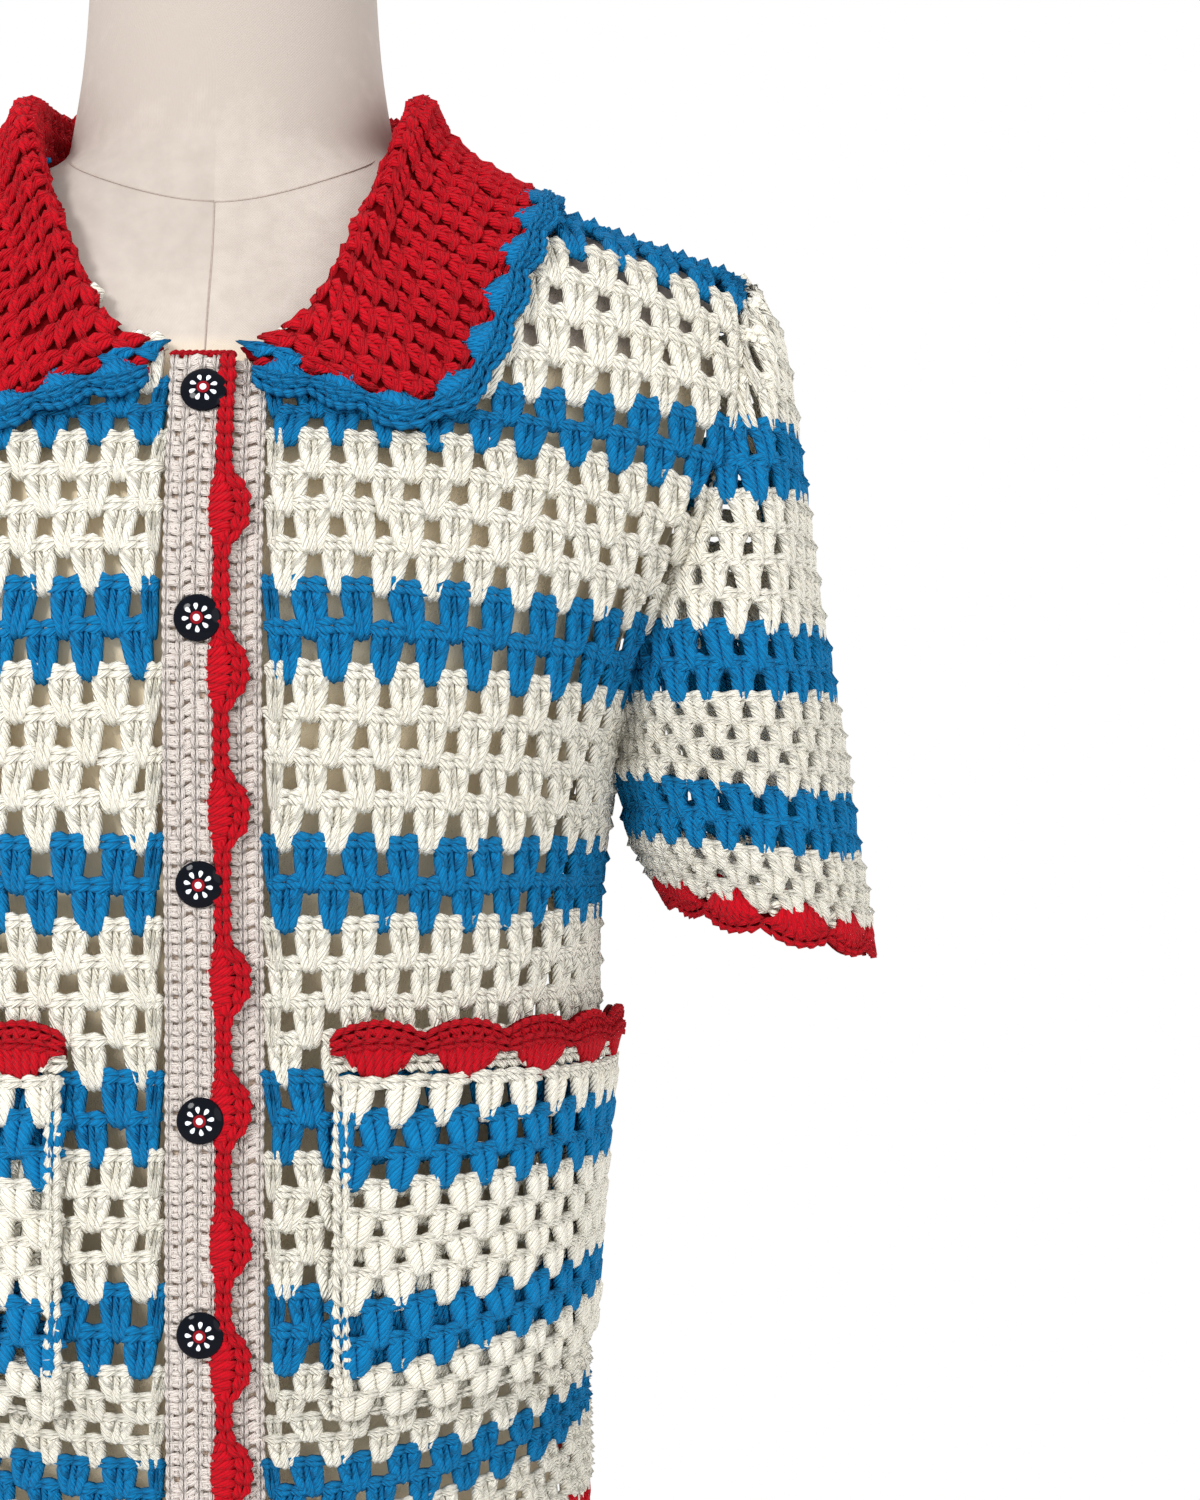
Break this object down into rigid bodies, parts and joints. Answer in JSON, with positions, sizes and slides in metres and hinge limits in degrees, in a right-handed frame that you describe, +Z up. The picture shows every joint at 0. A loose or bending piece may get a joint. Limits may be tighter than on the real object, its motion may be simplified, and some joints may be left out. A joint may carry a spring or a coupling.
{
  "type": "crocheted cardigan on a limbless dress form",
  "caption": "Short-sleeved crocheted cardigan with flat collar, buttoned band and patch pockets, worn by a limbless dress form on a round stand.",
  "frame": {"origin": "middle of the underside of the round stand", "axes": "+Z up along the pole, the garment's front faces -Y, the wearer's left is +X"},
  "size_m": [0.5094, 0.33, 1.0733],
  "materials": {
    "cream_crochet": "matt crocheted yarn, cream with blue stripes",
    "band_crochet": "matt dense crochet, off-white",
    "red_crochet": "matt dense crochet, red",
    "blue_crochet": "matt dense crochet, blue",
    "linen_cover": "plain woven linen cover",
    "button_gloss": "glossy, printed with petals",
    "turned_wood": "satin varnish",
    "brushed_steel": "brushed"
  },
  "bodies": {
    "root": {"front_left": "cream_crochet", "front_right": "cream_crochet", "back": "cream_crochet", "sleeve_left": "cream_crochet", "sleeve_right": "cream_crochet", "pocket_left": "cream_crochet", "pocket_right": "cream_crochet", "button_band": "band_crochet", "under_band": "band_crochet", "collar": "red_crochet", "collar_edging": "blue_crochet", "placket_edging": "red_crochet", "neck_cord": "red_crochet", "pocket_edging_left": "red_crochet", "pocket_edging_right": "red_crochet", "hem_edging_left": "red_crochet", "hem_edging_right": "red_crochet", "hem_edging_back": "red_crochet", "cuff_edging_left": "red_crochet", "cuff_edging_right": "red_crochet", "button_1": "button_gloss", "button_2": "button_gloss", "button_3": "button_gloss", "button_4": "button_gloss", "button_5": "button_gloss", "button_6": "button_gloss", "form_torso": "linen_cover", "neck_cap": "turned_wood", "pole": "brushed_steel", "base": "turned_wood"}
  },
  "joints": []
}
